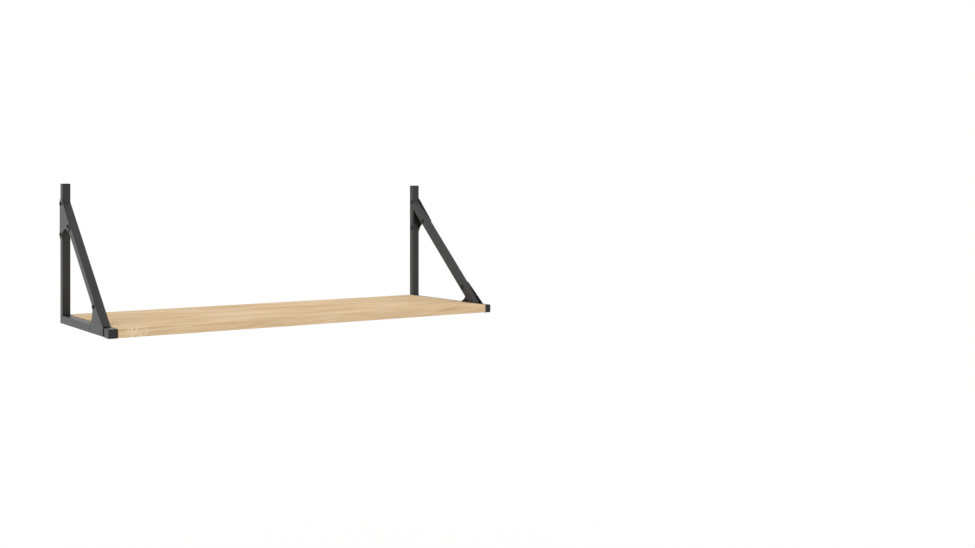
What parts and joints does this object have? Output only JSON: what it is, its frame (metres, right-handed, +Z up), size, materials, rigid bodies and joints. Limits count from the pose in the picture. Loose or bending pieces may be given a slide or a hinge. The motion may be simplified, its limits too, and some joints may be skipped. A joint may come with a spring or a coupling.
{
  "type": "wall shelf with brackets",
  "caption": "Oak-look shelf board carried between triangular brackets of black square steel tube with bolted gusset plates, hung on the wall by keyholes.",
  "frame": {"origin": "middle of the four keyhole entries, on the wall plane at the back of the posts", "axes": "+X along the shelf, +Y into the wall (the front faces -Y), +Z up"},
  "size_m": [0.8066, 0.3045, 0.2686],
  "materials": {
    "black_powder_coat": "satin black powder coat with a fine grain",
    "black_plastic": "moulded black plastic, semi-matte",
    "black_fasteners": "black zinc-plated steel",
    "oak_board": "light oak grain along the length, matt lacquered",
    "oak_edge_band": "light oak edge band, matt lacquered"
  },
  "bodies": {
    "root": {"left_post_tube": "black_powder_coat", "left_arm_tube": "black_powder_coat", "left_brace_tube": "black_powder_coat", "left_upper_gusset": "black_powder_coat", "left_lower_gusset": "black_powder_coat", "left_arm_cap": "black_plastic", "left_post_plug": "black_plastic", "left_gusset_bolts": "black_fasteners", "left_rivet_nuts": "black_fasteners", "left_board_screws": "black_fasteners", "right_post_tube": "black_powder_coat", "right_arm_tube": "black_powder_coat", "right_brace_tube": "black_powder_coat", "right_upper_gusset": "black_powder_coat", "right_lower_gusset": "black_powder_coat", "right_arm_cap": "black_plastic", "right_post_plug": "black_plastic", "right_gusset_bolts": "black_fasteners", "right_rivet_nuts": "black_fasteners", "right_board_screws": "black_fasteners", "board_core": "oak_board", "board_front_edge": "oak_edge_band", "board_back_edge": "oak_edge_band", "board_left_edge": "oak_edge_band", "board_right_edge": "oak_edge_band"}
  },
  "joints": []
}
